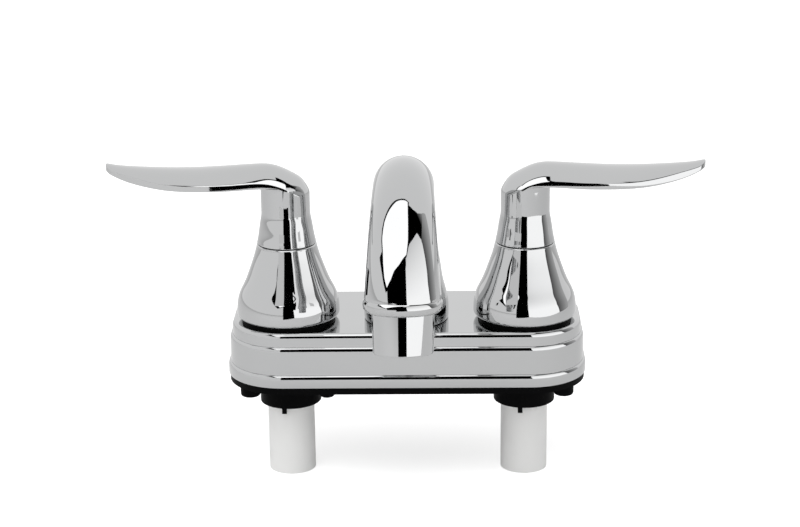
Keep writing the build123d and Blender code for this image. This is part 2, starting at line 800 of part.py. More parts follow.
# Chromed spout: flared column, arched tube, ringed outlet and the nipple it swivels on
arch_steps = 12
clip_top = socket_bottom - running_fit
with BuildPart() as spout:
    for step in range(arch_steps + 1):
        angle = arch_end * step / arch_steps
        place = (
            0,
            arch_radius * (cos(radians(angle)) - 1),
            column_top + arch_radius * sin(radians(angle)),
        )
        heading = (0, -sin(radians(angle)), cos(radians(angle)))
        with BuildSketch(Plane(origin=place, x_dir=(1, 0, 0), z_dir=heading)):
            Circle(tube_radius(angle))
    loft()
    with BuildSketch(profile_plane(0, 0)):
        with BuildLine():
            foot_edge = (foot_radius, foot_bottom + foot_edge_height)
            column_side = [
                (
                    foot_radius - narrowed * (foot_radius - column_top_radius),
                    foot_bottom + risen * (column_top - foot_bottom),
                )
                for risen, narrowed in column_stations
            ]
            Spline(
                foot_edge,
                *column_side,
                (column_top_radius, column_top),
                tangents=((0, 1), (-column_top_slope, 1)),
            )
            Polyline(
                (column_top_radius, column_top),
                (0, column_top),
                (0, foot_bottom),
                (foot_radius - foot_edge_inset, foot_bottom),
                foot_edge,
            )
        make_face()
    revolve(axis=upright_axis(0, 0))
    # Outlet: the tube runs on into a ring with its belly low
    with BuildSketch(outlet_level(outlet_ring_top)):
        Circle(outlet_radius)
    extrude(amount=-arch_overlap)
    with BuildSketch(outlet_profile):
        with BuildLine():
            ring_edge = outlet_radius - outlet_ring_inset
            ring_root = outlet_radius - outlet_ring_tuck
            ThreePointArc(
                (ring_edge, shell_length),
                (outlet_ring_radius, shell_length + outlet_ring_belly),
                (ring_root, outlet_ring_top),
            )
            Polyline(
                (ring_root, outlet_ring_top),
                (0, outlet_ring_top),
                (0, shell_length),
                (ring_edge, shell_length),
            )
        make_face()
    revolve(axis=outlet_axis)
    with BuildSketch(Plane.XY.offset(nipple_end)):
        Circle(nipple_radius)
    extrude(amount=foot_bottom - nipple_end)
    with BuildSketch(Plane.XY.offset(stop_lug_bottom)):
        with Locations((0, nipple_radius + (stop_lug_reach - stop_lug_root) / 2)):
            Rectangle(stop_lug_width, stop_lug_reach + stop_lug_root)
    extrude(amount=stop_lug_height)
    # Water passage: narrow in the nipple, wide in the column and round the arch
    with BuildSketch(Plane.XY.offset(passage_bottom)):
        Circle(spout_passage)
    extrude(amount=column_top - passage_bottom, mode=Mode.SUBTRACT)
    with BuildSketch(Plane.XY.offset(column_top)):
        Circle(spout_passage)
    arch_axis = Axis((0, -arch_radius, column_top), (1, 0, 0))
    revolve(axis=arch_axis, revolution_arc=arch_end, mode=Mode.SUBTRACT)
    with BuildSketch(Plane.XY.offset(nipple_floor)):
        Circle(nipple_bore)
    extrude(amount=passage_bottom - nipple_floor, mode=Mode.SUBTRACT)
    with BuildSketch(outlet_level(shell_length)):
        Circle(shell_thread_radius + thread_fit)
    extrude(amount=outlet_shoulder - shell_length, mode=Mode.SUBTRACT)
    # Recess for the washer under the foot, and the nipple's grooves and side ports
    with BuildSketch(Plane.XY.offset(foot_bottom)):
        Circle(washer_radius + running_fit)
        Circle(nipple_radius, mode=Mode.SUBTRACT)
    extrude(amount=washer_top - foot_bottom, mode=Mode.SUBTRACT)
    with BuildSketch(profile_plane(0, 0)):
        for height in (swivel_seal_low, swivel_seal_high):
            with Locations((nipple_radius, height)):
                Rectangle(2 * o_ring_thickness, 2 * groove_half_height)
        with Locations((nipple_radius, channel_height)):
            Rectangle(2 * o_ring_thickness, 2 * channel_radius)
        with Locations((nipple_radius, clip_top - clip_thickness / 2)):
            Rectangle(2 * clip_depth, clip_thickness + running_fit)
    revolve(axis=upright_axis(0, 0), mode=Mode.SUBTRACT)
    with BuildSketch(Plane.YZ.offset(-nipple_radius)):
        with Locations((0, channel_height)):
            Circle(port_radius)
    extrude(amount=2 * nipple_radius, mode=Mode.SUBTRACT)
save(spout.part, "spout")

# Two rubber rings in the nipple's grooves, above and below the side ports
with BuildPart() as spout_o_rings:
    with BuildSketch(profile_plane(0, 0)):
        ring_centre = nipple_radius - o_ring_thickness / 2 + thread_fit
        with Locations((ring_centre, swivel_seal_low), (ring_centre, swivel_seal_high)):
            Circle(o_ring_thickness / 2)
    revolve(axis=upright_axis(0, 0))
save(spout_o_rings.part, "spout_o_rings")

# Plastic washer that the spout turns on
with BuildPart() as spout_washer:
    with BuildSketch(Plane.XY.offset(deck_top)):
        Circle(washer_radius)
        Circle(spout_hole + running_fit, mode=Mode.SUBTRACT)
    extrude(amount=washer_thickness)
save(spout_washer.part, "spout_washer")

# Open spring ring that holds the nipple in its socket
with BuildPart() as spout_retaining_ring:
    with BuildSketch(Plane.XY.offset(clip_top - clip_thickness)):
        Circle(clip_radius)
        Circle(nipple_radius - clip_depth + thread_fit, mode=Mode.SUBTRACT)
        with Locations((0, -clip_radius)):
            Rectangle(clip_mouth, 2 * clip_radius, mode=Mode.SUBTRACT)
    extrude(amount=clip_thickness)
save(spout_retaining_ring.part, "spout_retaining_ring")

# Chromed aerator housing, screwed into the outlet, with a lip at its mouth
with BuildPart() as aerator_housing:
    with BuildSketch(outlet_profile):
        with BuildLine():
            Polyline(
                (shell_lip_bore, 0),
                (shell_bottom_radius, 0),
                (shell_top_radius, shell_length),
                (shell_thread_radius, shell_length),
                (shell_thread_radius, thread_top),
                (shell_bore, thread_top),
                (shell_bore, shell_lip_height),
                (shell_lip_bore, shell_lip_height),
                close=True,
            )
        make_face()
    revolve(axis=outlet_axis)
save(aerator_housing.part, "aerator_housing")


# Rings of holes round one in the middle
def water_holes(spacing, rings, radius):
    Circle(radius, mode=Mode.SUBTRACT)
    for ring in range(1, rings + 1):
        with PolarLocations(ring * spacing, 6 * ring):
            Circle(radius, mode=Mode.SUBTRACT)


# Grey plastic insert that breaks up the stream
with BuildPart() as aerator_insert:
    with BuildSketch(outlet_level(shell_lip_height)):
        Circle(shell_bore - running_fit)
        water_holes(insert_hole_spacing, insert_hole_rings, insert_hole_radius)
    extrude(amount=insert_height)
save(aerator_insert.part, "aerator_insert")

# Steel screen on top of the insert
with BuildPart() as aerator_screen:
    with BuildSketch(outlet_level(insert_top)):
        Circle(shell_bore - running_fit)
        water_holes(screen_hole_spacing, screen_hole_rings, screen_hole_radius)
    extrude(amount=screen_thickness)
save(aerator_screen.part, "aerator_screen")

# Rubber washer between the housing and the shoulder in the outlet
with BuildPart() as aerator_washer:
    with BuildSketch(outlet_level(thread_top)):
        Circle(shell_thread_radius - running_fit)
        Circle(aerator_washer_bore, mode=Mode.SUBTRACT)
    extrude(amount=aerator_washer_thickness)
save(aerator_washer.part, "aerator_washer")
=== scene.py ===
import bpy
import bmesh
import numpy as np
from mathutils import Matrix, Vector, geometry


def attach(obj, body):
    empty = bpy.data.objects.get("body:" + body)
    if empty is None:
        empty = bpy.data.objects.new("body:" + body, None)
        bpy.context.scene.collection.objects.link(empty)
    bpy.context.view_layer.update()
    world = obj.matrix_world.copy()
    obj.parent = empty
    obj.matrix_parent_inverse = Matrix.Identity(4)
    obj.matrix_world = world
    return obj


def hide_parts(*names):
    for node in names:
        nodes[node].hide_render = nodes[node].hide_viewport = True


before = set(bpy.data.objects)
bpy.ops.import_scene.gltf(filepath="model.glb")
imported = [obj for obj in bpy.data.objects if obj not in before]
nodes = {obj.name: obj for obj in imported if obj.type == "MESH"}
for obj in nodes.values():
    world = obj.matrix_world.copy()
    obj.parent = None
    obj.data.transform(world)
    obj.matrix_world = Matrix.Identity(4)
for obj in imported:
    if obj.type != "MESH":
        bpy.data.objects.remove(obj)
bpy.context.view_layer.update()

# Waterway: the white moulded body whose two shanks stand below the plate.
# Acetal, satin from the mould, with a faint flow pattern. The spout and both
# valves seal in it.


def surface_group():
    """Node group for a finish seen close up: two noises at two sizes vary a colour
    between a darker and a lighter value, vary the roughness by a spread, and give
    one height for a fine bump."""
    group = bpy.data.node_groups.new("surface finish", "ShaderNodeTree")
    face = group.interface
    for name, kind, value in (
        ("Dark", "NodeSocketColor", (0.5, 0.5, 0.5, 1)),
        ("Light", "NodeSocketColor", (0.6, 0.6, 0.6, 1)),
        ("Roughness", "NodeSocketFloat", 0.4),
        ("Spread", "NodeSocketFloat", 0.1),
        ("Broad Scale", "NodeSocketFloat", 40),
        ("Fine Scale", "NodeSocketFloat", 900),
    ):
        socket = face.new_socket(name, in_out="INPUT", socket_type=kind)
        socket.default_value = value
    for name, kind in (
        ("Color", "NodeSocketColor"),
        ("Roughness", "NodeSocketFloat"),
        ("Height", "NodeSocketFloat"),
    ):
        face.new_socket(name, in_out="OUTPUT", socket_type=kind)
    tree, link = group.nodes, group.links.new
    inside, outside = tree.new("NodeGroupInput"), tree.new("NodeGroupOutput")
    place = tree.new("ShaderNodeTexCoord")
    broad, fine = tree.new("ShaderNodeTexNoise"), tree.new("ShaderNodeTexNoise")
    broad.inputs["Detail"].default_value = 3
    fine.inputs["Detail"].default_value = 2
    for noise, scale in ((broad, "Broad Scale"), (fine, "Fine Scale")):
        link(place.outputs["Object"], noise.inputs["Vector"])
        link(inside.outputs[scale], noise.inputs["Scale"])
    blend = tree.new("ShaderNodeMix")
    blend.data_type = "RGBA"
    link(broad.outputs["Fac"], blend.inputs["Factor"])
    link(inside.outputs["Dark"], blend.inputs["A"])
    link(inside.outputs["Light"], blend.inputs["B"])
    link(blend.outputs["Result"], outside.inputs["Color"])
    centred = tree.new("ShaderNodeMath")
    centred.operation = "SUBTRACT"
    centred.inputs[1].default_value = 0.5
    link(broad.outputs["Fac"], centred.inputs[0])
    rough = tree.new("ShaderNodeMath")
    rough.operation = "MULTIPLY_ADD"
    link(centred.outputs[0], rough.inputs[0])
    link(inside.outputs["Spread"], rough.inputs[1])
    link(inside.outputs["Roughness"], rough.inputs[2])
    link(rough.outputs[0], outside.inputs["Roughness"])
    link(fine.outputs["Fac"], outside.inputs["Height"])
    return group


finish_group = surface_group()


def finish(name, dark, light, roughness, spread, broad, fine, relief, **sockets):
    """Material whose colour, roughness and bump come from the finish group. relief is the
    bump's depth in metres; other names set the shader's own sockets."""
    material = bpy.data.materials.new(name)
    material.use_nodes = True
    tree, link = material.node_tree.nodes, material.node_tree.links.new
    shader = tree["Principled BSDF"]
    pattern = tree.new("ShaderNodeGroup")
    pattern.node_tree = finish_group
    pattern.inputs["Dark"].default_value = (*dark, 1)
    pattern.inputs["Light"].default_value = (*light, 1)
    pattern.inputs["Roughness"].default_value = roughness
    pattern.inputs["Spread"].default_value = spread
    pattern.inputs["Broad Scale"].default_value = broad
    pattern.inputs["Fine Scale"].default_value = fine
    bump = tree.new("ShaderNodeBump")
    bump.inputs["Distance"].default_value = relief
    link(pattern.outputs["Color"], shader.inputs["Base Color"])
    link(pattern.outputs["Roughness"], shader.inputs["Roughness"])
    link(pattern.outputs["Height"], bump.inputs["Height"])
    link(bump.outputs["Normal"], shader.inputs["Normal"])
    for socket, value in sockets.items():
        shader.inputs[socket.replace("_", " ")].default_value = value
    return material


def dress(material, *names):
    """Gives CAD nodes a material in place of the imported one."""
    for name in names:
        data = nodes[name].data
        data.materials.clear()
        data.materials.append(material)


acetal = finish("white acetal", (0.84, 0.84, 0.83), (0.89, 0.89, 0.88), 0.34, 0.12, 60, 1500, 0.00001)
dress(acetal, "waterway")

# Base plate: black moulded plastic that closes the cover from below, with a
# collar round each shank. Satin, with the fine grain of its mould. Two plain
# steel screws hold it to the cover.

black_plastic = finish(
    "black plastic", (0.0016, 0.0016, 0.0018), (0.0028, 0.0028, 0.003), 0.42, 0.12, 90, 2600, 0.00002,
    Specular_IOR_Level=0.03,
)
steel = finish(
    "turned steel", (0.50, 0.50, 0.49), (0.58, 0.57, 0.56), 0.28, 0.12, 200, 2500, 0.00001, Metallic=1.0
)
dress(black_plastic, "base_plate")
dress(steel, "plate_screws")

# Base cover: one casting in three tiers, polished and chrome plated. Its flat
# bands run round rounded corners, each stepped in from the one below, and it
# is hollow and open underneath.

MM = 0.001
MERGE_DISTANCE, SHARP_ANGLE = 0.002 * MM, np.radians(30)
chrome = finish(
    "polished chrome", (0.512, 0.517, 0.522), (0.542, 0.545, 0.547), 0.035, 0.03, 25, 400, 0.0000008,
    Metallic=1.0,
)


def piece(name, grids, body, material, replaced, flat=()):
    """Mesh piece from grids of points in millimetres, each an array of rows by columns by three.
    Neighbouring points become four-sided faces, and the last column joins the first. flat holds
    ready (points, triangles) pairs. Points that fall together are merged, the faces are turned
    outwards, and edges sharper than 30 degrees shade as edges."""
    vertices, faces, start = [], [], 0
    for grid in grids:
        rows, columns = grid.shape[:2]
        index = np.arange(rows * columns).reshape(rows, columns) + start
        index = np.hstack([index, index[:, :1]])
        quads = np.stack([index[:-1, :-1], index[:-1, 1:], index[1:, 1:], index[1:, :-1]], -1)
        faces += quads.reshape(-1, 4).tolist()
        vertices.append(grid.reshape(-1, 3))
        start += rows * columns
    for points, triangles in flat:
        faces += (np.array(triangles) + start).tolist()
        vertices.append(np.array(points, float))
        start += len(points)
    data = bpy.data.meshes.new(name)
    data.from_pydata((np.vstack(vertices) * MM).tolist(), [], faces)
    shape = bmesh.new()
    shape.from_mesh(data)
    bmesh.ops.remove_doubles(shape, verts=shape.verts, dist=MERGE_DISTANCE)
    bmesh.ops.dissolve_degenerate(shape, dist=MERGE_DISTANCE / 2, edges=shape.edges)
    bmesh.ops.recalc_face_normals(shape, faces=shape.faces)
    shape.to_mesh(data)
    shape.free()
    data.shade_smooth()
    data.set_sharp_from_angle(angle=SHARP_ANGLE)
    data.materials.append(material)
    thing = bpy.data.objects.new(name, data)
    bpy.context.scene.collection.objects.link(thing)
    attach(thing, body)
    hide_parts(*replaced)
    return thing


def turned(profile, centre, columns):
    """Surface of revolution: a profile of (radius, height) carried round an upright axis."""
    profile = np.asarray(profile, float)
    angle = np.linspace(0, 2 * np.pi, columns, endpoint=False)
    x = centre[0] + profile[:, :1] * np.cos(angle)
    y = centre[1] + profile[:, :1] * np.sin(angle)
    return np.stack([x, y, np.broadcast_to(profile[:, 1:2], x.shape)], -1)


COVER_HALF, COVER_FRONT, COVER_BACK, COVER_CORNER = 77.3, -25.3, 39.0, 25.0


def round_outline(runs=(40, 20), corner_steps=40):
    """Stations round the cover's outline: the centre that each lies out from and its
    direction. The four corners turn about fixed centres, and along the straight runs the
    centre travels while the direction stays."""
    right, left = COVER_HALF - COVER_CORNER, COVER_CORNER - COVER_HALF
    back, front = COVER_BACK - COVER_CORNER, COVER_FRONT + COVER_CORNER
    centres = [(right, back), (left, back), (left, front), (right, front)]
    places, angles = [], []
    for turn, centre in enumerate(centres):
        angle = np.linspace(turn * np.pi / 2, (turn + 1) * np.pi / 2, corner_steps)
        places.append(np.tile(centre, (corner_steps, 1)))
        angles.append(angle)
        count = runs[turn % 2]
        along = np.linspace(0, 1, count + 2)[1:-1, None]
        follow = np.array(centres[(turn + 1) % 4])
        places.append(np.array(centre) * (1 - along) + follow * along)
        angles.append(np.full(count, angle[-1]))
    angle = np.concatenate(angles)
    return np.vstack(places), np.stack([np.cos(angle), np.sin(angle)], -1)


def banded(profile):
    """Profile of (inset, height) carried round the cover's outline: each point lies on the
    outline drawn in by its inset."""
    places, out = round_outline()
    profile = np.asarray(profile, float)
    plan = places[None] + (COVER_CORNER - profile[:, 0])[:, None, None] * out[None]
    height = np.broadcast_to(profile[:, 1][:, None, None], plan.shape[:2] + (1,))
    return np.concatenate([plan, height], -1)


def flat_with_holes(outer, holes, height):
    """Flat face at one height, as points and triangles: the area inside an outline and outside
    its round holes."""
    loops = [np.asarray(outer)] + [np.asarray(hole) for hole in holes]
    points = [Vector(p) for loop in loops for p in loop]
    edges, start = [], 0
    for loop in loops:
        count = len(loop)
        edges += [(start + i, start + (i + 1) % count) for i in range(count)]
        start += count
    found, _, triangles, _, _, _ = geometry.delaunay_2d_cdt(points, edges, [], 1, 1e-6)
    found = np.array([tuple(p) for p in found])
    middle = found[np.array(triangles)].mean(1)
    keep = np.ones(len(triangles), bool)
    for hole in holes:
        centre = hole.mean(0)
        just_inside = np.linalg.norm(hole[0] - centre) * 0.98
        keep &= np.linalg.norm(middle - centre, axis=1) > just_inside
    flat = np.column_stack([found, np.full(len(found), height)])
    return flat, np.array(triangles)[keep]


TIER_TOPS, TIER_STEP, SHOULDER_DEPTH = (8.5, 20.7, 26.5), 1.15, 2.1
SHOULDER_WIDTH, TOP_SHOULDER_WIDTH = TIER_STEP - 0.08, 1.6
COVER_BOTTOM, COVER_WALL, COVER_CEILING, COVER_LEDGE = 3.0, 1.8, 24.7, 12.0
TOP_EDGE, TOP_FLAT = 4.1, 5.0
VALVE_PLACE, VALVE_HOLE, SPOUT_HOLE, HOLE_STEPS = 50.8, 12.1, 11.3, 96


def shoulder(inset, top, width):
    """Rounded top of a tier: a quarter of an ellipse, tall on the side face and narrow on top,
    with one more point down the side so that the face below shades flat."""
    turn = np.radians(np.linspace(0, 90, 13))
    curve = [inset + width * (1 - np.cos(turn)), top - SHOULDER_DEPTH * (1 - np.sin(turn))]
    return np.vstack([[(inset, top - SHOULDER_DEPTH - 0.1)], np.column_stack(curve)])


cover_profile = np.vstack(
    [
        [(COVER_WALL, COVER_LEDGE), (COVER_WALL, COVER_BOTTOM), (0.2, COVER_BOTTOM)],
        [(0.06, COVER_BOTTOM + 0.06), (0.0, COVER_BOTTOM + 0.2)],
        shoulder(0, TIER_TOPS[0], SHOULDER_WIDTH),
        shoulder(TIER_STEP, TIER_TOPS[1], SHOULDER_WIDTH),
        shoulder(2 * TIER_STEP, TIER_TOPS[2], TOP_SHOULDER_WIDTH),
        [(TOP_EDGE, TIER_TOPS[2]), (TOP_FLAT, TIER_TOPS[2])],
    ]
)
inner_profile = [
    (TOP_FLAT, COVER_CEILING), (TOP_EDGE, COVER_CEILING), (TOP_EDGE, COVER_LEDGE), (COVER_WALL, COVER_LEDGE),
]
holes = [((-VALVE_PLACE, 0), VALVE_HOLE), ((VALVE_PLACE, 0), VALVE_HOLE), ((0, 0), SPOUT_HOLE)]
hole_rings = [
    turned([(radius, TIER_TOPS[2]), (radius, COVER_CEILING)], place, HOLE_STEPS) for place, radius in holes
]
cover_rows = banded(cover_profile)
inner_rows = banded(inner_profile)
piece(
    "cover_shell",
    [cover_rows, inner_rows] + hole_rings,
    "deck_set",
    chrome,
    ["base_cover"],
    flat=[
        flat_with_holes(cover_rows[-1, :, :2], [ring[0, :, :2] for ring in hole_rings], TIER_TOPS[2]),
        flat_with_holes(inner_rows[0, :, :2], [ring[1, :, :2] for ring in hole_rings], COVER_CEILING),
    ],
)

# Valves: ceramic discs in a brass cartridge under each bell, its stem and
# seals, and the brass nut that clamps the cover and carries the bell. A black
# rubber ring lies between the bell and the cover.

brass = finish(
    "machined brass", (0.55, 0.41, 0.20), (0.64, 0.49, 0.26), 0.26, 0.14, 160, 2200, 0.00001,
    Metallic=1.0,
)
ceramic = finish("ground ceramic", (0.72, 0.71, 0.68), (0.78, 0.77, 0.74), 0.22, 0.1, 120, 3000, 0.000004)
rubber = finish(
    "black rubber", (0.0018, 0.0018, 0.0018), (0.003, 0.003, 0.003), 0.5, 0.16, 150, 3200, 0.00002,
    Specular_IOR_Level=0.03,
)
for side in ("left", "right"):
    dress(brass, side + "_cartridge_body", side + "_stem", side + "_bonnet_nut")
    dress(ceramic, side + "_fixed_disc", side + "_turning_disc")
    dress(rubber, side + "_seat_seal", side + "_stem_seal", side + "_bell_ring")

# Bells: turned, polished and chromed shells that hide the valves. They screw
# on the nuts' necks, and their sides sweep in from a rounded foot to a narrow
# mouth just below the handle.


def smooth_curve(points, count, start, end):
    """Cubic curve through points with one bend throughout: runs between points are cubics in
    the distance along the chords, joined with equal slope and equal bend, and the slope at each
    end is the given direction."""
    points = np.asarray(points, float)
    step = np.linalg.norm(np.diff(points, axis=0), axis=1)
    knots = np.concatenate([[0], np.cumsum(step)])
    size = len(points)
    system, right = np.zeros((size, size)), np.zeros(points.shape)
    system[0, 0] = system[-1, -1] = 1
    right[0] = np.array(start, float) / np.linalg.norm(start)
    right[-1] = np.array(end, float) / np.linalg.norm(end)
    inner = np.arange(1, size - 1)
    system[inner, inner - 1] = step[1:]
    system[inner, inner] = 2 * (step[:-1] + step[1:])
    system[inner, inner + 1] = step[:-1]
    slope = np.diff(points, axis=0) / step[:, None]
    right[inner] = 3 * (step[1:, None] * slope[:-1] + step[:-1, None] * slope[1:])
    slopes = np.linalg.solve(system, right)
    place = np.linspace(0, knots[-1], count)
    run = np.clip(np.searchsorted(knots, place, "right") - 1, 0, size - 2)
    t = ((place - knots[run]) / step[run])[:, None]
    width = step[run][:, None]
    return (
        points[run] * (1 + 2 * t) * (1 - t) ** 2
        + points[run + 1] * t**2 * (3 - 2 * t)
        + slopes[run] * width * t * (1 - t) ** 2
        + slopes[run + 1] * width * t**2 * (t - 1)
    )


def quarter(centre, radius, first, last, steps):
    """Arc of a profile about a centre, between two angles in degrees."""
    angle = np.radians(np.linspace(first, last, steps))
    return np.column_stack([centre[0] + radius * np.cos(angle), centre[1] + radius * np.sin(angle)])


BELL_BOTTOM, BELL_TOP, BELL_HOLLOW = 28.0, 60.15, 18.1
FOOT_CENTRE, FOOT_ROUND = 20.1, 1.95
LIP_CENTRE, LIP_ROUND = 12.1, 0.75
MOUTH_CENTRE, MOUTH_ROUND = 11.0, 0.3
BELL_STEPS = 192

# Stations of radius and height up the outer side, then up the inner one
bell_side = smooth_curve(
    [
        (FOOT_CENTRE + FOOT_ROUND, BELL_BOTTOM + FOOT_ROUND), (20.85, 37.9), (18.9, 42.0), (16.0, 49.2),
        (13.6, 56.4), (12.84, BELL_TOP - LIP_ROUND),
    ],
    count=150, start=(0, 1), end=(-0.24, 1),
)
bell_inside = smooth_curve(
    [
        (BELL_HOLLOW, BELL_BOTTOM), (18.85, 37.9), (16.9, 42.0), (14.0, 49.2), (11.6, 56.4),
        (MOUTH_CENTRE - MOUTH_ROUND, BELL_TOP - MOUTH_ROUND),
    ],
    count=60, start=(0.5, 1), end=(-0.1, 1),
)
bell_profile = np.vstack(
    [
        [(BELL_HOLLOW, BELL_BOTTOM), (FOOT_CENTRE - 0.1, BELL_BOTTOM)],
        quarter((FOOT_CENTRE, BELL_BOTTOM + FOOT_ROUND), FOOT_ROUND, -90, -2, 16),
        bell_side,
        quarter((LIP_CENTRE, BELL_TOP - LIP_ROUND), LIP_ROUND, 8, 90, 8),
        [(MOUTH_CENTRE, BELL_TOP)],
        quarter((MOUTH_CENTRE, BELL_TOP - MOUTH_ROUND), MOUTH_ROUND, 90, 180, 6),
    ]
)
for side, centre in (("left", -VALVE_PLACE), ("right", VALVE_PLACE)):
    piece(
        side + "_bell_shell",
        [turned(bell_profile, (centre, 0), BELL_STEPS), turned(bell_inside, (centre, 0), BELL_STEPS)],
        "deck_set",
        chrome,
        [side + "_bell"],
    )

# Lever handles: hub and wing cast in one, polished and chromed, mirror images
# of each other. The hub fits over the stem, held by a set screw from behind.
# The wing has an arched crown and a flat underside that meets the hub's neck.

LEVER_REACH, LEVER_HALF_WIDTH, LEVER_RISE = 75.5, 12.5, 20.55
HUB_RADIUS, HUB_SHOULDER, HUB_BOTTOM = 10.4, 73.95, 60.45
TIP_RADIUS, TIP_ANGLE = 5.4, 72.0
THINNEST_SIDE, EDGE_ROUND, BACK_EDGE_ROUND, LOWER_ROUND, NECK_ROUND = 1.2, 0.3, 0.9, 0.4, 1.6
SOFT_START, SOFT_RUN, CROWN_ROWS, NECK_HEIGHT = 2, 6, 26, 79.0
SKIRT_RADIUS, SKIRT_BOTTOM, SKIRT_BEVEL = 10.2, 57.45, 0.15
SOCKET_MOUTH, SOCKET_RADIUS, SOCKET_STEP, SOCKET_TOP = 4.8, 4.62, 61.3, 77.5
SCREW_HEIGHT, SCREW_START, SCREW_HOLE, SCREW_DEPTH, DRILL_SIDES = 69.0, 6.0, 2.05, 8.0, 40

# Shares of the reach, of the half width, and of the rise at the side edge and at the crown
crown_shares = np.array(
    [
        (-0.139, 0.440, 0.353, 0.431),
        (-0.093, 0.608, 0.460, 0.689),
        (-0.040, 0.792, 0.557, 0.820),
        (0.026, 0.840, 0.645, 0.937),
        (0.093, 0.872, 0.708, 1.000),
        (0.172, 0.912, 0.732, 1.000),
        (0.291, 0.960, 0.718, 0.971),
        (0.450, 1.000, 0.703, 0.937),
        (0.609, 0.960, 0.718, 0.927),
        (0.768, 0.760, 0.796, 0.946),
        (0.874, 0.560, 0.873, 0.971),
        (0.954, 0.352, 0.956, 1.005),
        (1.020, 0.240, 1.024, 1.054),
    ]
)
crown_sizes = crown_shares * (LEVER_REACH, LEVER_HALF_WIDTH, LEVER_RISE, LEVER_RISE)
crown_line = smooth_curve(
    crown_sizes, count=600, start=crown_sizes[1] - crown_sizes[0], end=crown_sizes[-1] - crown_sizes[-2]
)

# Distance along the wing and height of its underside
underside_line = smooth_curve(
    [
        (-4.0, 86.0), (12.0, 86.4), (24.0, 85.9), (36.0, 85.8), (49.0, 86.3), (61.5, 88.0), (68.0, 89.6),
        (76.5, 93.0),
    ],
    count=300, start=(1, 0.04), end=(1, 0.4),
)


def crown_height(along, across):
    """Height of the wing's crown: at each distance along the wing its section is an arc of a
    circle through the top of the crown and both side edges."""
    edge, side, top = (np.interp(along, crown_line[:, 0], crown_line[:, k]) for k in (1, 2, 3))
    rise = top - side
    arch = (edge**2 + rise**2) / (2 * rise)
    return HUB_SHOULDER + top - arch + np.sqrt(arch**2 - across**2)


def underside_height(along):
    """Height of the wing's underside, which is level across the wing."""
    return np.interp(along, underside_line[:, 0], underside_line[:, 1])


def lever_plan():
    """Plan of the handle, from the tip round to the back and on to the tip again: the tip's
    arc, the leaf-shaped edge and the half circle of the hub. For each point it also gives the
    angle of its foot on the hub, in step with the run along the edge."""
    tip_turn = np.radians(np.linspace(0, TIP_ANGLE, 24))
    tip = TIP_RADIUS * np.column_stack([np.cos(tip_turn), np.sin(tip_turn)])
    tip[:, 0] += LEVER_REACH - TIP_RADIUS
    leaf = smooth_curve(
        [tip[-1], (66.0, 7.0), (58.0, 9.5), (46.0, 12.0), (34.0, 12.5), (13.0, 11.4), (0.0, HUB_RADIUS)],
        count=110, start=(-1, 0.32), end=(-1, 0),
    )
    front = np.vstack([tip, leaf[1:]])
    run = np.concatenate([[0], np.cumsum(np.linalg.norm(np.diff(front, axis=0), axis=1))])
    back_turn = np.linspace(np.pi / 2, np.pi, 40)[1:]
    back = HUB_RADIUS * np.column_stack([np.cos(back_turn), np.sin(back_turn)])
    plan = np.vstack([front, back])
    turn = np.concatenate([run / run[-1] * np.pi / 2, back_turn])
    return np.vstack([plan, plan[-2:0:-1] * (1, -1)]), np.concatenate([turn, -turn[-2:0:-1]])


def rounded(before, corner, after, steps=7):
    """Rows that round a corner: a parabola between two points whose ends aim at the corner."""
    t = np.linspace(0, 1, steps)[:, None, None]
    return (1 - t) ** 2 * before + 2 * t * (1 - t) * corner + t**2 * after


def at(plan, height):
    """Points of a plan at a height."""
    return np.column_stack([plan, np.broadcast_to(height, len(plan))])


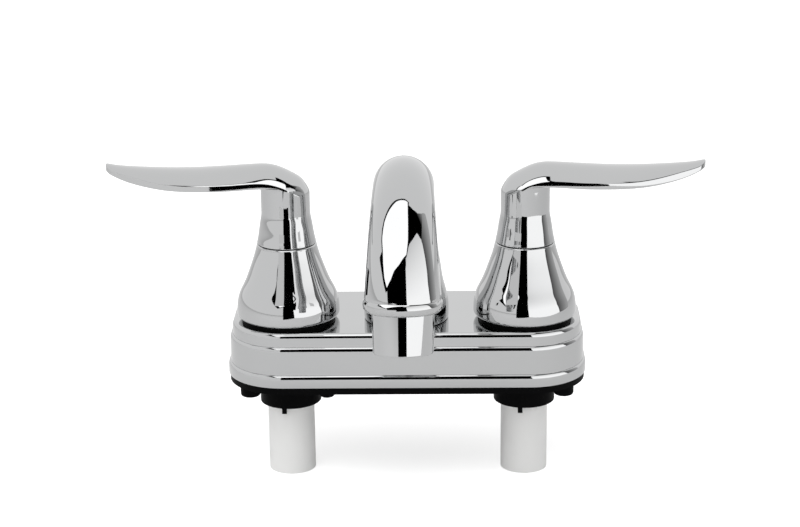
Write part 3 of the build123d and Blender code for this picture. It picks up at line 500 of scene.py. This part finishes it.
def lever_skin():
    """One handle's skin, in rows from the crown's ridge outwards: over the crown to its edge,
    round the edge, down the side face, in under the wing to the neck and down the hub. The
    edge is crisp along the wing and softer round the back of the hub."""
    plan, turn = lever_plan()
    before, after = np.roll(plan, 1, axis=0), np.roll(plan, -1, axis=0)
    out = (after - before)[:, ::-1] * (1, -1)
    out /= np.linalg.norm(out, axis=1)[:, None]
    soft = np.clip((SOFT_START - plan[:, 0]) / SOFT_RUN, 0, 1)
    edge_round = EDGE_ROUND + (BACK_EDGE_ROUND - EDGE_ROUND) * soft**2 * (3 - 2 * soft)
    inner = plan - out * edge_round[:, None]
    share = np.sin(np.linspace(0, np.pi / 2, CROWN_ROWS))[:, None]
    ridge = np.broadcast_to(inner[:, 0], (CROWN_ROWS, len(plan)))
    crown = np.stack([ridge, share * inner[:, 1], crown_height(ridge, share * inner[:, 1])], -1)

    edge = crown_height(plan[:, 0], plan[:, 1])
    low = edge - np.maximum(edge - underside_height(plan[:, 0]), THINNEST_SIDE)
    foot = HUB_RADIUS * np.column_stack([np.cos(turn), np.sin(turn)])
    ledge = np.linalg.norm(plan - foot, axis=1)
    inward = (foot - plan) / np.maximum(ledge, 0.001)[:, None]
    lower_round = np.minimum(LOWER_ROUND, 0.3 * ledge)
    neck_round = np.minimum(NECK_ROUND, 0.4 * ledge)
    lift = low - underside_height(plan[:, 0])

    def under(place):
        return at(place, underside_height(place[:, 0]) + lift)

    edge_rows = rounded(crown[-1], at(plan, edge), at(plan, edge - edge_round))
    lower_start = plan + inward * lower_round[:, None]
    lower_rows = rounded(at(plan, low + lower_round), at(plan, low), under(lower_start), 5)
    neck_start = foot - inward * neck_round[:, None]
    step = np.linspace(0, 1, 9)[1:-1, None, None]
    flat_rows = [under(lower_start + (neck_start - lower_start) * t[0]) for t in step]
    neck_top = under(foot)
    neck_end = neck_top - (0, 0, 1) * neck_round[:, None]
    neck_rows = rounded(under(neck_start), neck_top, neck_end)
    drop = np.linspace(0, 1, 7)[1:-1, None, None]
    straight = neck_end + (at(foot, NECK_HEIGHT) - neck_end) * drop

    flare = smooth_curve(
        [(HUB_RADIUS, HUB_SHOULDER), (10.84, 70.6), (11.45, 67.0), (12.0, 63.5), (12.56, 60.8)],
        count=44, start=(0, -1), end=(0.2, -1),
    )
    profile = np.vstack(
        [
            [(HUB_RADIUS, NECK_HEIGHT)],
            flare,
            quarter((12.3, HUB_BOTTOM + EDGE_ROUND), EDGE_ROUND, -10, -90, 5),
            [(SKIRT_RADIUS, HUB_BOTTOM), (SKIRT_RADIUS, SKIRT_BOTTOM + SKIRT_BEVEL)],
            [(SKIRT_RADIUS - SKIRT_BEVEL, SKIRT_BOTTOM), (SOCKET_MOUTH, SKIRT_BOTTOM)],
            [(SOCKET_MOUTH, SOCKET_STEP), (SOCKET_RADIUS, SOCKET_STEP)],
            [(SOCKET_RADIUS, SOCKET_TOP), (0.0, SOCKET_TOP)],
        ]
    )
    hub = np.stack(
        [
            profile[:, :1] * np.cos(turn),
            profile[:, :1] * np.sin(turn),
            np.broadcast_to(profile[:, 1:], (len(profile), len(turn))),
        ],
        -1,
    )
    return np.concatenate([crown, edge_rows[1:], lower_rows, flat_rows, neck_rows, straight, hub])


def drilled(thing, centre, radius, depth):
    """Cuts a round hole that runs along Y through one wall of a piece."""
    sides = DRILL_SIDES
    turn = np.linspace(0, 2 * np.pi, sides, endpoint=False)
    ring = np.column_stack([centre[0] + radius * np.cos(turn), 0 * turn, centre[2] + radius * np.sin(turn)])
    ends = np.vstack([ring + (0, centre[1], 0), ring + (0, centre[1] + depth, 0)]) * MM
    faces = [(i, (i + 1) % sides, sides + (i + 1) % sides, sides + i) for i in range(sides)]
    faces += [list(range(sides - 1, -1, -1)), list(range(sides, 2 * sides))]
    data = bpy.data.meshes.new("drill")
    data.from_pydata(ends.tolist(), [], faces)
    drill = bpy.data.objects.new("drill", data)
    bpy.context.scene.collection.objects.link(drill)
    cut = thing.modifiers.new("hole", "BOOLEAN")
    cut.object, cut.operation, cut.solver = drill, "DIFFERENCE", "EXACT"
    bpy.context.view_layer.update()
    shaped = thing.evaluated_get(bpy.context.evaluated_depsgraph_get())
    thing.data = bpy.data.meshes.new_from_object(shaped)
    thing.modifiers.clear()
    thing.data.shade_smooth()
    thing.data.set_sharp_from_angle(angle=SHARP_ANGLE)
    bpy.data.objects.remove(drill)


skin = lever_skin()
for side, mirror in (("left", -1), ("right", 1)):
    wing = piece(
        side + "_lever_wing",
        [skin * (mirror, 1, 1) + (mirror * VALVE_PLACE, 0, 0)],
        side + "_handle",
        chrome,
        [side + "_lever_handle"],
    )
    drilled(wing, (mirror * VALVE_PLACE, SCREW_START, SCREW_HEIGHT), SCREW_HOLE, SCREW_DEPTH)
    dress(steel, side + "_handle_screw")

# Spout: a flared column, an arched tube and a ringed outlet in one casting,
# polished and chromed. It turns in the waterway's socket on a nipple with two
# rubber rings, above a plastic washer. The outlet leans forward a little.

OUTLET_TILT = np.radians(9.0)
SPOUT_REACH, COLUMN_TOP = 81.0, 54.8
SLEEVE_LENGTH, RING_TOP = 16.1, 22.1
ARCH = (SPOUT_REACH - RING_TOP * np.sin(OUTLET_TILT)) / (1 + np.cos(OUTLET_TILT))
MOUTH_HEIGHT = COLUMN_TOP + ARCH * np.sin(OUTLET_TILT) - RING_TOP * np.cos(OUTLET_TILT)
COLUMN_TOP_RADIUS, CREST_RADIUS, TUBE_END_RADIUS = 14.2, 12.4, 15.1
FLARE_END, CREST_ANGLE, ARCH_END = 40, 90, 180 - np.degrees(OUTLET_TILT)
NIPPLE_RADIUS, NIPPLE_BOTTOM = 9.0, 3.4
SPOUT_BOTTOM, RECESS_RADIUS, RECESS_TOP = 26.8, 15.1, 27.8
SPOUT_FOOT_RADIUS, SPOUT_FOOT_TOP, SPOUT_FOOT_ROUND = 18.2, 28.4, 0.45
RING_BULGE, RING_TOP_RADIUS, RING_BOTTOM_RADIUS = (15.72, 18.7), 14.1, 13.9
RING_CREASE, RING_EDGE, BORE_RADIUS, BORE_TOP = 0.35, 0.25, 11.25, 22.8
SPOUT_STEPS, RING_STEPS, RING_SKIP, SHORT_GUARD = 200, 60, 3, 0.05


def tube_radius(angle):
    """The tube's radius at an angle in degrees round the arch: narrowest over the crest, a
    little wider towards the column and wider still towards the outlet."""
    rising = np.maximum(0, 1 - angle / FLARE_END) ** 2
    falling = np.maximum(0, (angle - CREST_ANGLE) / (ARCH_END - CREST_ANGLE)) ** 1.5
    widening = (COLUMN_TOP_RADIUS - CREST_RADIUS) * rising
    return CREST_RADIUS + widening + (TUBE_END_RADIUS - CREST_RADIUS) * falling


def arch_surface(angle, around):
    """Point of the arched tube: circles whose centres follow the arch, square to it."""
    turn, radius = np.radians(angle), tube_radius(angle)
    out = radius * np.cos(around)
    side = radius * np.sin(around)
    y = -ARCH + (ARCH + side) * np.cos(turn)
    z = COLUMN_TOP + (ARCH + side) * np.sin(turn)
    return np.stack(np.broadcast_arrays(out, y, z), -1)


def outlet_turned(profile, around):
    """Surface of revolution about the outlet's leaning axis, from a profile of radius and
    height above the aerator's mouth."""
    profile = np.asarray(profile, float)
    radius, height = profile[:, :1], profile[:, 1:]
    out = radius * np.cos(around)
    side = radius * np.sin(around)
    y = -SPOUT_REACH + height * np.sin(OUTLET_TILT) - side * np.cos(OUTLET_TILT)
    z = MOUTH_HEIGHT + height * np.cos(OUTLET_TILT) + side * np.sin(OUTLET_TILT)
    return np.stack([out, y, z], -1)


def arc_corners(points, radii, steps, guard=0.12):
    """Profile with rounded corners: each corner point of a polyline is exchanged for an arc of
    its radius that touches both runs, and one more point is set on each run, a guard's length
    away from the arc, so that shading stays flat on the run."""
    points = np.array(points, float)
    rows = [points[:1]]
    for before, corner, after, radius in zip(points[:-2], points[1:-1], points[2:], radii):
        to_before = (before - corner) / np.linalg.norm(before - corner)
        to_after = (after - corner) / np.linalg.norm(after - corner)
        if radius == 0:
            rows.append(corner[None])
            continue
        half = np.arccos(np.clip(to_before @ to_after, -1, 1)) / 2
        reach = radius / np.tan(half)
        middle = to_before + to_after
        centre = corner + middle / np.linalg.norm(middle) * radius / np.sin(half)
        first, last = corner + to_before * reach - centre, corner + to_after * reach - centre
        sweep = np.arctan2(first[0] * last[1] - first[1] * last[0], first @ last)
        turn = np.linspace(0, sweep, steps + 1)[:, None]
        side = np.array([-first[1], first[0]])
        rows.append((corner + to_before * (reach + guard))[None])
        rows.append(centre + first * np.cos(turn) + side * np.sin(turn))
        rows.append((corner + to_after * (reach + guard))[None])
    rows.append(points[-1:])
    return np.vstack(rows)


def three_point_arc(first, middle, last, steps):
    """Arc of a circle through three points, from the first to the last."""
    first, middle, last = (np.array(p, float) for p in (first, middle, last))
    sides = 2 * np.array([middle - first, last - middle])
    centre = np.linalg.solve(sides, [middle @ middle - first @ first, last @ last - middle @ middle])
    start, end = (np.arctan2(*(p - centre)[::-1]) for p in (first, last))
    turn = np.linspace(start, end, steps)
    return centre + np.linalg.norm(first - centre) * np.column_stack([np.cos(turn), np.sin(turn)])


around = np.linspace(0, 2 * np.pi, SPOUT_STEPS, endpoint=False)
nipple = [
    (0.0, NIPPLE_BOTTOM), (NIPPLE_RADIUS, NIPPLE_BOTTOM), (NIPPLE_RADIUS, SPOUT_BOTTOM),
    (NIPPLE_RADIUS, RECESS_TOP), (RECESS_RADIUS, RECESS_TOP), (RECESS_RADIUS, SPOUT_BOTTOM),
]
column = smooth_curve(
    [
        (SPOUT_FOOT_RADIUS, SPOUT_FOOT_TOP), (18.0, 34.7), (15.9, 43.7), (14.8, 50.9),
        (COLUMN_TOP_RADIUS, COLUMN_TOP),
    ],
    count=110, start=(0, 1), end=(-0.13, 1),
)
foot = arc_corners(
    [(17.0, SPOUT_BOTTOM), (18.05, SPOUT_BOTTOM), (SPOUT_FOOT_RADIUS, SPOUT_FOOT_TOP)], [SPOUT_FOOT_ROUND],
    steps=6, guard=SHORT_GUARD,
)
upright = turned(np.vstack([nipple, foot[:-1], column[:-1]]), (0, 0), SPOUT_STEPS)
arch = arch_surface(np.linspace(0, ARCH_END, 240)[:, None], around[None])
ring_bottom, ring_top = (RING_BOTTOM_RADIUS, SLEEVE_LENGTH), (RING_TOP_RADIUS, RING_TOP)
ring = three_point_arc(ring_bottom, RING_BULGE, ring_top, RING_STEPS)[::-1]
meeting = np.argmax(ring[:, 0] > TUBE_END_RADIUS + 0.02)
tube_end = [(TUBE_END_RADIUS, RING_TOP - 0.2), (TUBE_END_RADIUS, ring[meeting, 1])]

# The arc stops a few points short of the two corners that are rounded below
ring = ring[meeting + RING_SKIP:-RING_SKIP]
outlet = arc_corners([*tube_end, tuple(ring[0])], [RING_CREASE], steps=5, guard=SHORT_GUARD)
lower_edge = arc_corners(
    [tuple(ring[-1]), ring_bottom, (BORE_RADIUS, SLEEVE_LENGTH)], [RING_EDGE], steps=5, guard=SHORT_GUARD
)
bore = [(BORE_RADIUS, BORE_TOP), (0.0, BORE_TOP)]
mouth = outlet_turned(np.vstack([outlet, ring[1:-1], lower_edge[1:], bore]), around)
piece("spout_skin", [np.concatenate([upright, arch, mouth])], "spout", chrome, ["spout"])

grey_plastic = finish(
    "grey plastic", (0.18, 0.18, 0.185), (0.23, 0.23, 0.235), 0.4, 0.12, 120, 2500, 0.00001
)
dress(rubber, "spout_o_rings")
dress(steel, "spout_retaining_ring")
dress(grey_plastic, "spout_washer")

# Aerator: a chromed sleeve screwed into the outlet against a rubber washer.
# Inside it a grey plastic insert with rings of holes breaks up the stream
# below a steel screen.

SLEEVE_MOUTH, SLEEVE_LEDGE, SLEEVE_BORE = 9.5, 1.4, 10.2
SLEEVE_FOOT, SLEEVE_HEAD, THREAD_RADIUS, THREAD_TOP = 11.95, 12.3, 11.2, 21.3
dress(rubber, "aerator_washer")
dress(grey_plastic, "aerator_insert")
dress(steel, "aerator_screen")
sleeve = arc_corners(
    [
        (SLEEVE_MOUTH, SLEEVE_LEDGE), (SLEEVE_MOUTH, 0.0), (SLEEVE_FOOT, 0.0), (SLEEVE_HEAD, SLEEVE_LENGTH),
        (THREAD_RADIUS, SLEEVE_LENGTH), (THREAD_RADIUS, THREAD_TOP), (SLEEVE_BORE, THREAD_TOP),
        (SLEEVE_BORE, SLEEVE_LEDGE), (SLEEVE_MOUTH, SLEEVE_LEDGE),
    ],
    [0.25, 0.45, 0.1, 0, 0.2, 0.2, 0],
    steps=6,
)
piece("aerator_sleeve", [outlet_turned(sleeve, around)], "spout", chrome, ["aerator_housing"])

# Studio: a pale floor that the shanks stand on, an even pale surround, a soft
# lamp above, and the cards and panels that polished metal shows.

SPOUT_MIDDLE = np.array((0, -50, 95))
PANEL_ANGLE, PANEL_LIFT = np.radians(-35), np.radians(50)
NEAR_CARD_PLACE, BELL_CARD_PLACE, BELL_CARD_BOTTOM, BELL_CARD_TOP = -130, -50, 53, 67
FLOOR_HEIGHT, FLOOR_RADIUS, FLOOR_SIDES, FLOOR_GLOW = -42.5, 4000, 96, 0.55
SURROUND_LIGHT, SURROUND_SEEN = 0.7, 1.0
LAMP_PLACE, LAMP_AIM, LAMP_SIZE, LAMP_POWER = (-0.35, -0.7, 1.25), (0, 0, 0.03), (1.2, 0.9), 9.0
CAMERA_PLACE, CAMERA_LENS, CAMERA_SENSOR = (0.0143, -0.817, 0.303), 90, 36
CAMERA_TURN, CAMERA_DIP, CAMERA_ROLL = 1.18, 17.18, -0.69


def glowing(name, strengths, axis="Z", span=(0, 1)):
    """Material that glows and takes no light. With two strengths the glow fades from the first
    to the second between two places, in millimetres, along an axis of the object."""
    material = bpy.data.materials.new(name)
    material.use_nodes = True
    tree, link = material.node_tree.nodes, material.node_tree.links.new
    tree.clear()
    glow, out = tree.new("ShaderNodeEmission"), tree.new("ShaderNodeOutputMaterial")
    glow.inputs["Strength"].default_value = strengths[0]
    link(glow.outputs[0], out.inputs["Surface"])
    if len(strengths) == 2:
        place, split = tree.new("ShaderNodeTexCoord"), tree.new("ShaderNodeSeparateXYZ")
        fade = tree.new("ShaderNodeMapRange")
        link(place.outputs["Object"], split.inputs[0])
        link(split.outputs[axis], fade.inputs["Value"])
        fade.inputs["From Min"].default_value = span[0] * MM
        fade.inputs["From Max"].default_value = span[1] * MM
        fade.inputs["To Min"].default_value = strengths[0]
        fade.inputs["To Max"].default_value = strengths[1]
        link(fade.outputs["Result"], glow.inputs["Strength"])
    return material


def card(name, corners, material):
    """Flat or slightly domed card that only polished surfaces see. Corners are in millimetres."""
    data = bpy.data.meshes.new(name)
    data.from_pydata((np.array(corners) * MM).tolist(), [], [list(range(len(corners)))])
    data.materials.append(material)
    thing = bpy.data.objects.new(name, data)
    bpy.context.scene.collection.objects.link(thing)
    thing.visible_camera = False
    thing.visible_diffuse = False
    thing.visible_shadow = False
    thing.visible_transmission = False
    thing.visible_volume_scatter = False


def dome_card(name, radius, directions, material):
    """Card whose corners lie on a sphere about the middle of the spout. Each direction is the
    angle in plan from straight ahead, to the right, and the angle above level, in degrees."""
    angle, lift = np.radians(directions).T
    ahead = radius * np.cos(lift)
    away = np.column_stack([ahead * np.sin(angle), -ahead * np.cos(angle), radius * np.sin(lift)])
    card(name, SPOUT_MIDDLE + away, material)


def tilted_card(name, distance, corners, material):
    """Flat card up to the left of the spout that faces it. Corners are to the right and
    upwards from its middle."""
    right = np.array([np.cos(PANEL_ANGLE), np.sin(PANEL_ANGLE), 0])
    level = np.array([np.sin(PANEL_ANGLE), -np.cos(PANEL_ANGLE), 0])
    ahead = level * np.cos(PANEL_LIFT) + (0, 0, np.sin(PANEL_LIFT))
    up = np.cross(ahead, right)
    places = SPOUT_MIDDLE + distance * ahead + np.array(corners) @ np.array([right, up])
    card(name, places, material)


black = glowing("black card", [0.0])
card("front_card", [(-115, -455, -42), (132, -600, -42), (132, -600, 578), (-115, -455, 345)], black)
tilted_card(
    "white_panel", 95,
    [
        (12, 90), (29, 105), (46, 71), (65, 37), (77, 14), (81, -4), (82, -18), (67, -33), (50, -53),
        (28, -71), (14, -91), (-11, -114), (-31, -97), (-44, -74), (-54, -53), (-70, -35), (-72, -20),
        (-69, -4), (-55, 15), (-40, 32), (-25, 52), (-8, 69),
    ],
    glowing("white panel", [1.9]),
)
tilted_card(
    "panel_frame", 101,
    [
        (9, 103), (38, 126), (52, 81), (72, 44), (88, 19), (91, -6), (91, -20), (74, -40), (56, -60),
        (34, -80), (20, -100), (-8, -125), (-21, -133), (-41, -116), (-63, -93), (-95, -70), (-69, -56),
        (-87, -36), (-92, -17), (-86, 1), (-70, 21), (-57, 36), (-35, 59), (-14, 78),
    ],
    black,
)
near_card = [
    (-41, 60), (-23, 62), (-6, 62), (-2, 83), (2, 99), (4, 120), (-11, 109), (-26, 101), (-35, 92),
    (-51, 82),
]
card("near_card", [(x, NEAR_CARD_PLACE, z) for x, z in near_card], black)
pale = glowing("pale card", [0.9])
for name, left, right, material in (
    ("left_bell_card", -55, -37, black),
    ("left_pale_card", -72, -55, pale),
    ("right_pale_card", 8, 36, pale),
):
    low = [(left, BELL_CARD_PLACE, BELL_CARD_BOTTOM), (right, BELL_CARD_PLACE, BELL_CARD_BOTTOM)]
    high = [(right, BELL_CARD_PLACE, BELL_CARD_TOP), (left, BELL_CARD_PLACE, BELL_CARD_TOP)]
    card(name, low + high, material)
dome_card(
    "side_panel", 590,
    [
        (11.5, -13), (11.5, 30), (19, 41), (35, 50), (49, 51), (68, 50), (76, 40), (82, 29), (83, 15),
        (85, 0), (86, -13),
    ],
    glowing("side panel", [1.7, 0.95], "Z", (100, 550)),
)
dome_card(
    "roof_card", 600,
    [
        (12, 40), (20, 48), (35, 62), (59, 71), (101, 75), (95, 61), (99, 48), (108, 36), (84, 30), (76, 38),
        (60, 40), (30, 40),
    ],
    glowing("roof card", [0.0, 0.6], "Y", (-15, 155)),
)
dome_card(
    "right_band", 604,
    [(80, -13), (80, 31), (108, 37), (116, 26), (114, 13), (112, 3), (113, -13)],
    glowing("right band", [0.12, 0.6], "Y", (-110, 155)),
)

floor_data = bpy.data.meshes.new("floor")
turn = np.linspace(0, 2 * np.pi, FLOOR_SIDES, endpoint=False)
heights = np.full(FLOOR_SIDES, FLOOR_HEIGHT)
floor_ring = np.column_stack([FLOOR_RADIUS * np.cos(turn), FLOOR_RADIUS * np.sin(turn), heights]) * MM
floor_data.from_pydata(floor_ring.tolist(), [], [list(range(FLOOR_SIDES))])
floor = bpy.data.objects.new("floor", floor_data)
bpy.context.scene.collection.objects.link(floor)
paper = bpy.data.materials.new("pale floor")
paper.use_nodes = True
tree, link = paper.node_tree.nodes, paper.node_tree.links.new
shader = tree["Principled BSDF"]
shader.inputs["Base Color"].default_value = (0.9, 0.9, 0.9, 1)
shader.inputs["Roughness"].default_value = 0.9
shader.inputs["Specular IOR Level"].default_value = 0.0
path = tree.new("ShaderNodeLightPath")
lift = tree.new("ShaderNodeMath")
lift.operation = "MULTIPLY"
lift.inputs[1].default_value = FLOOR_GLOW
shader.inputs["Emission Color"].default_value = (1, 1, 1, 1)
link(path.outputs["Is Camera Ray"], lift.inputs[0])
link(lift.outputs[0], shader.inputs["Emission Strength"])
floor_data.materials.append(paper)

world = bpy.data.worlds.new("surround")
world.use_nodes = True
bpy.context.scene.world = world
tree, link = world.node_tree.nodes, world.node_tree.links.new
backdrop = tree["Background"]
path = tree.new("ShaderNodeLightPath")
seen = tree.new("ShaderNodeMath")
seen.operation = "MAXIMUM"
link(path.outputs["Is Camera Ray"], seen.inputs[0])
link(path.outputs["Is Transmission Ray"], seen.inputs[1])
shown = tree.new("ShaderNodeMath")
shown.operation = "MAXIMUM"
link(seen.outputs[0], shown.inputs[0])
link(path.outputs["Is Glossy Ray"], shown.inputs[1])
level = tree.new("ShaderNodeMapRange")
level.inputs["To Min"].default_value = SURROUND_LIGHT
level.inputs["To Max"].default_value = SURROUND_SEEN
link(shown.outputs[0], level.inputs["Value"])
link(level.outputs["Result"], backdrop.inputs["Strength"])
backdrop.inputs["Color"].default_value = (1, 1, 1, 1)

lamp_data = bpy.data.lights.new("soft_lamp", "AREA")
lamp_data.shape = "RECTANGLE"
lamp_data.size, lamp_data.size_y = LAMP_SIZE
lamp_data.energy = LAMP_POWER
lamp = bpy.data.objects.new("soft_lamp", lamp_data)
bpy.context.scene.collection.objects.link(lamp)
lamp.location = LAMP_PLACE
lamp.rotation_euler = (Vector(LAMP_AIM) - lamp.location).to_track_quat("-Z", "Y").to_euler()
lamp.visible_camera = False
lamp.visible_glossy = False

camera_data = bpy.data.cameras.new("camera")
camera_data.lens, camera_data.sensor_width = CAMERA_LENS, CAMERA_SENSOR
camera = bpy.data.objects.new("camera", camera_data)
bpy.context.scene.collection.objects.link(camera)
camera.matrix_world = (
    Matrix.Translation(CAMERA_PLACE)
    @ Matrix.Rotation(np.radians(CAMERA_TURN), 4, "Z")
    @ Matrix.Rotation(np.radians(90 - CAMERA_DIP), 4, "X")
    @ Matrix.Rotation(np.radians(CAMERA_ROLL), 4, "Z")
)
bpy.context.scene.camera = camera
bpy.context.scene.view_settings.view_transform = "Standard"
